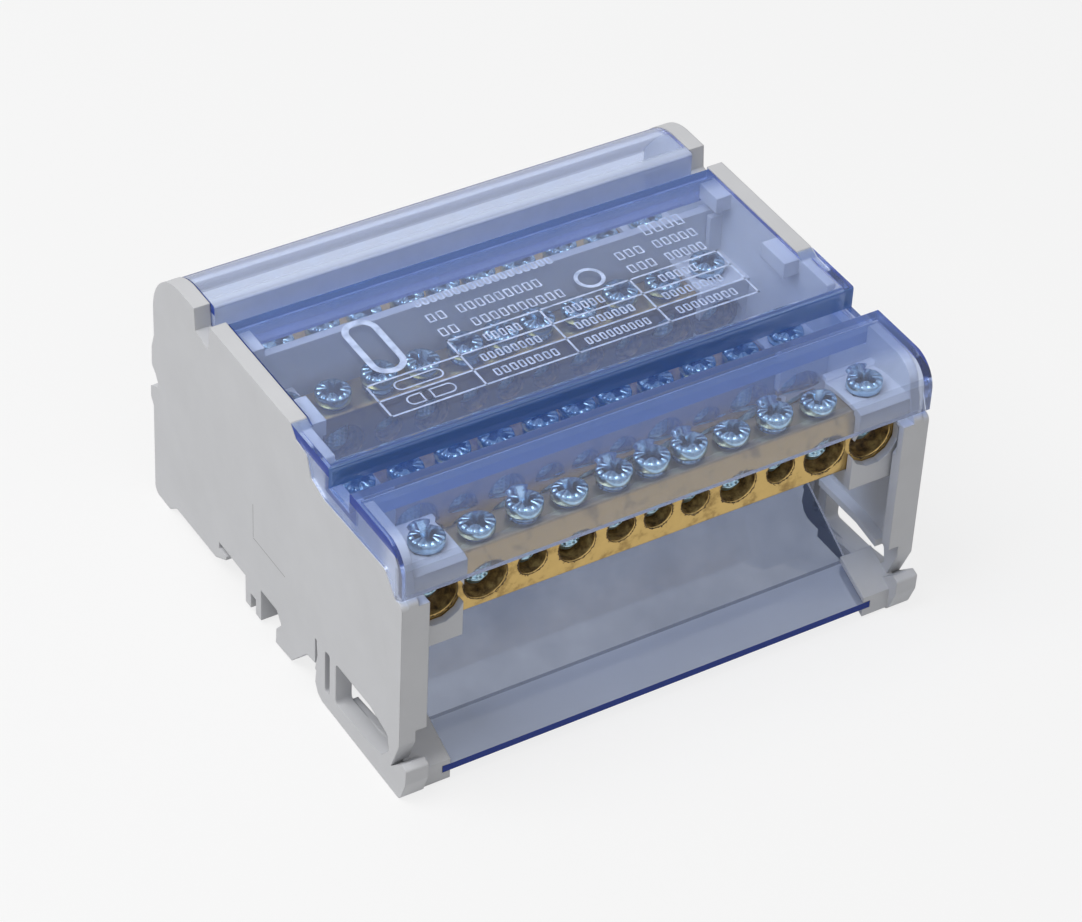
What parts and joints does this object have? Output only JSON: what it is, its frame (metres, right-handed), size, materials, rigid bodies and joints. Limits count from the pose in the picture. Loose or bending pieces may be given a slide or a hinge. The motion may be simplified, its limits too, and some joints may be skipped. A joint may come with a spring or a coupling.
{
  "type": "power distribution block",
  "caption": "Rail-mounted power distribution block with drilled brass busbars, clamping screws, grey end plates and a clear hinged cover.",
  "frame": {"origin": "middle of the footprint, on the plane under the end plates' feet", "axes": "+X along the busbars, -Y towards the wiring front, +Z away from the rail"},
  "size_m": [0.1, 0.09, 0.0517],
  "materials": {
    "grey_moulding": "fine matt moulding",
    "clear_cover": "clear, blue tinted",
    "clear_sheet": "clear, faintly blue",
    "brass": "drawn and drilled",
    "zinc_steel": "blue zinc plate"
  },
  "bodies": {
    "frame": {"left_end_plate": "grey_moulding", "right_end_plate": "grey_moulding", "floor_sheet": "clear_sheet", "partition": "grey_moulding", "busbar_front": "brass", "busbar_second": "brass", "busbar_third": "brass", "busbar_rear": "brass"},
    "cover": {"cover": "clear_cover"},
    "screw_a01": {"screw_a01": "zinc_steel"},
    "screw_a02": {"screw_a02": "zinc_steel"},
    "screw_a03": {"screw_a03": "zinc_steel"},
    "screw_a04": {"screw_a04": "zinc_steel"},
    "screw_a05": {"screw_a05": "zinc_steel"},
    "screw_a06": {"screw_a06": "zinc_steel"},
    "screw_a07": {"screw_a07": "zinc_steel"},
    "screw_a08": {"screw_a08": "zinc_steel"},
    "screw_a09": {"screw_a09": "zinc_steel"},
    "screw_a10": {"screw_a10": "zinc_steel"},
    "screw_a11": {"screw_a11": "zinc_steel"},
    "screw_b01": {"screw_b01": "zinc_steel"},
    "screw_b02": {"screw_b02": "zinc_steel"},
    "screw_b03": {"screw_b03": "zinc_steel"},
    "screw_b04": {"screw_b04": "zinc_steel"},
    "screw_b05": {"screw_b05": "zinc_steel"},
    "screw_b06": {"screw_b06": "zinc_steel"},
    "screw_b07": {"screw_b07": "zinc_steel"},
    "screw_b08": {"screw_b08": "zinc_steel"},
    "screw_b09": {"screw_b09": "zinc_steel"},
    "screw_b10": {"screw_b10": "zinc_steel"},
    "screw_b11": {"screw_b11": "zinc_steel"},
    "screw_c01": {"screw_c01": "zinc_steel"},
    "screw_c02": {"screw_c02": "zinc_steel"},
    "screw_c03": {"screw_c03": "zinc_steel"},
    "screw_c04": {"screw_c04": "zinc_steel"},
    "screw_c05": {"screw_c05": "zinc_steel"},
    "screw_c06": {"screw_c06": "zinc_steel"},
    "screw_c07": {"screw_c07": "zinc_steel"},
    "screw_c08": {"screw_c08": "zinc_steel"},
    "screw_c09": {"screw_c09": "zinc_steel"},
    "screw_c10": {"screw_c10": "zinc_steel"},
    "screw_c11": {"screw_c11": "zinc_steel"},
    "screw_d01": {"screw_d01": "zinc_steel"},
    "screw_d02": {"screw_d02": "zinc_steel"},
    "screw_d03": {"screw_d03": "zinc_steel"},
    "screw_d04": {"screw_d04": "zinc_steel"},
    "screw_d05": {"screw_d05": "zinc_steel"},
    "screw_d06": {"screw_d06": "zinc_steel"},
    "screw_d07": {"screw_d07": "zinc_steel"},
    "screw_d08": {"screw_d08": "zinc_steel"},
    "screw_d09": {"screw_d09": "zinc_steel"},
    "screw_d10": {"screw_d10": "zinc_steel"},
    "screw_d11": {"screw_d11": "zinc_steel"}
  },
  "joints": [
    {"name": "cover_hinge", "type": "hinge", "parent": "frame", "child": "cover", "pos_m": [0, 0.0407, 0.03], "axis": [-1, 0, 0], "range_deg": [0, 105]},
    {"name": "screw_a01_travel", "type": "slide", "parent": "frame", "child": "screw_a01", "axis": [0, 0, 1], "range_m": [-0.0001, 0.0025]},
    {"name": "screw_a02_travel", "type": "slide", "parent": "frame", "child": "screw_a02", "axis": [0, 0, 1], "range_m": [-0.0003, 0.0025]},
    {"name": "screw_a03_travel", "type": "slide", "parent": "frame", "child": "screw_a03", "axis": [0, 0, 1], "range_m": [-0.0001, 0.0025]},
    {"name": "screw_a04_travel", "type": "slide", "parent": "frame", "child": "screw_a04", "axis": [0, 0, 1], "range_m": [-0.0002, 0.0025]},
    {"name": "screw_a05_travel", "type": "slide", "parent": "frame", "child": "screw_a05", "axis": [0, 0, 1], "range_m": [-0.0001, 0.0025]},
    {"name": "screw_a06_travel", "type": "slide", "parent": "frame", "child": "screw_a06", "axis": [0, 0, 1], "range_m": [-0.0001, 0.0025]},
    {"name": "screw_a07_travel", "type": "slide", "parent": "frame", "child": "screw_a07", "axis": [0, 0, 1], "range_m": [-0.0001, 0.0025]},
    {"name": "screw_a08_travel", "type": "slide", "parent": "frame", "child": "screw_a08", "axis": [0, 0, 1], "range_m": [-0.0002, 0.0025]},
    {"name": "screw_a09_travel", "type": "slide", "parent": "frame", "child": "screw_a09", "axis": [0, 0, 1], "range_m": [-0.0001, 0.0025]},
    {"name": "screw_a10_travel", "type": "slide", "parent": "frame", "child": "screw_a10", "axis": [0, 0, 1], "range_m": [-0.0003, 0.0025]},
    {"name": "screw_a11_travel", "type": "slide", "parent": "frame", "child": "screw_a11", "axis": [0, 0, 1], "range_m": [-0.0001, 0.0025]},
    {"name": "screw_b01_travel", "type": "slide", "parent": "frame", "child": "screw_b01", "axis": [0, 0, 1], "range_m": [-0.0001, 0.0065]},
    {"name": "screw_b02_travel", "type": "slide", "parent": "frame", "child": "screw_b02", "axis": [0, 0, 1], "range_m": [-0.0003, 0.0065]},
    {"name": "screw_b03_travel", "type": "slide", "parent": "frame", "child": "screw_b03", "axis": [0, 0, 1], "range_m": [-0.0001, 0.0065]},
    {"name": "screw_b04_travel", "type": "slide", "parent": "frame", "child": "screw_b04", "axis": [0, 0, 1], "range_m": [-0.0002, 0.0065]},
    {"name": "screw_b05_travel", "type": "slide", "parent": "frame", "child": "screw_b05", "axis": [0, 0, 1], "range_m": [-0.0001, 0.0065]},
    {"name": "screw_b06_travel", "type": "slide", "parent": "frame", "child": "screw_b06", "axis": [0, 0, 1], "range_m": [-0.0001, 0.0065]},
    {"name": "screw_b07_travel", "type": "slide", "parent": "frame", "child": "screw_b07", "axis": [0, 0, 1], "range_m": [-0.0001, 0.0065]},
    {"name": "screw_b08_travel", "type": "slide", "parent": "frame", "child": "screw_b08", "axis": [0, 0, 1], "range_m": [-0.0002, 0.0065]},
    {"name": "screw_b09_travel", "type": "slide", "parent": "frame", "child": "screw_b09", "axis": [0, 0, 1], "range_m": [-0.0001, 0.0065]},
    {"name": "screw_b10_travel", "type": "slide", "parent": "frame", "child": "screw_b10", "axis": [0, 0, 1], "range_m": [-0.0003, 0.0065]},
    {"name": "screw_b11_travel", "type": "slide", "parent": "frame", "child": "screw_b11", "axis": [0, 0, 1], "range_m": [-0.0001, 0.0065]},
    {"name": "screw_c01_travel", "type": "slide", "parent": "frame", "child": "screw_c01", "axis": [0, 0, 1], "range_m": [-0.0001, 0.0065]},
    {"name": "screw_c02_travel", "type": "slide", "parent": "frame", "child": "screw_c02", "axis": [0, 0, 1], "range_m": [-0.0003, 0.0065]},
    {"name": "screw_c03_travel", "type": "slide", "parent": "frame", "child": "screw_c03", "axis": [0, 0, 1], "range_m": [-0.0001, 0.0065]},
    {"name": "screw_c04_travel", "type": "slide", "parent": "frame", "child": "screw_c04", "axis": [0, 0, 1], "range_m": [-0.0002, 0.0065]},
    {"name": "screw_c05_travel", "type": "slide", "parent": "frame", "child": "screw_c05", "axis": [0, 0, 1], "range_m": [-0.0001, 0.0065]},
    {"name": "screw_c06_travel", "type": "slide", "parent": "frame", "child": "screw_c06", "axis": [0, 0, 1], "range_m": [-0.0001, 0.0065]},
    {"name": "screw_c07_travel", "type": "slide", "parent": "frame", "child": "screw_c07", "axis": [0, 0, 1], "range_m": [-0.0001, 0.0065]},
    {"name": "screw_c08_travel", "type": "slide", "parent": "frame", "child": "screw_c08", "axis": [0, 0, 1], "range_m": [-0.0002, 0.0065]},
    {"name": "screw_c09_travel", "type": "slide", "parent": "frame", "child": "screw_c09", "axis": [0, 0, 1], "range_m": [-0.0001, 0.0065]},
    {"name": "screw_c10_travel", "type": "slide", "parent": "frame", "child": "screw_c10", "axis": [0, 0, 1], "range_m": [-0.0003, 0.0065]},
    {"name": "screw_c11_travel", "type": "slide", "parent": "frame", "child": "screw_c11", "axis": [0, 0, 1], "range_m": [-0.0001, 0.0065]},
    {"name": "screw_d01_travel", "type": "slide", "parent": "frame", "child": "screw_d01", "axis": [0, 0, 1], "range_m": [-0.0001, 0.0065]},
    {"name": "screw_d02_travel", "type": "slide", "parent": "frame", "child": "screw_d02", "axis": [0, 0, 1], "range_m": [-0.0003, 0.0065]},
    {"name": "screw_d03_travel", "type": "slide", "parent": "frame", "child": "screw_d03", "axis": [0, 0, 1], "range_m": [-0.0001, 0.0065]},
    {"name": "screw_d04_travel", "type": "slide", "parent": "frame", "child": "screw_d04", "axis": [0, 0, 1], "range_m": [-0.0002, 0.0065]},
    {"name": "screw_d05_travel", "type": "slide", "parent": "frame", "child": "screw_d05", "axis": [0, 0, 1], "range_m": [-0.0001, 0.0065]},
    {"name": "screw_d06_travel", "type": "slide", "parent": "frame", "child": "screw_d06", "axis": [0, 0, 1], "range_m": [-0.0001, 0.0065]},
    {"name": "screw_d07_travel", "type": "slide", "parent": "frame", "child": "screw_d07", "axis": [0, 0, 1], "range_m": [-0.0001, 0.0065]},
    {"name": "screw_d08_travel", "type": "slide", "parent": "frame", "child": "screw_d08", "axis": [0, 0, 1], "range_m": [-0.0002, 0.0065]},
    {"name": "screw_d09_travel", "type": "slide", "parent": "frame", "child": "screw_d09", "axis": [0, 0, 1], "range_m": [-0.0001, 0.0065]},
    {"name": "screw_d10_travel", "type": "slide", "parent": "frame", "child": "screw_d10", "axis": [0, 0, 1], "range_m": [-0.0003, 0.0065]},
    {"name": "screw_d11_travel", "type": "slide", "parent": "frame", "child": "screw_d11", "axis": [0, 0, 1], "range_m": [-0.0001, 0.0065]}
  ]
}
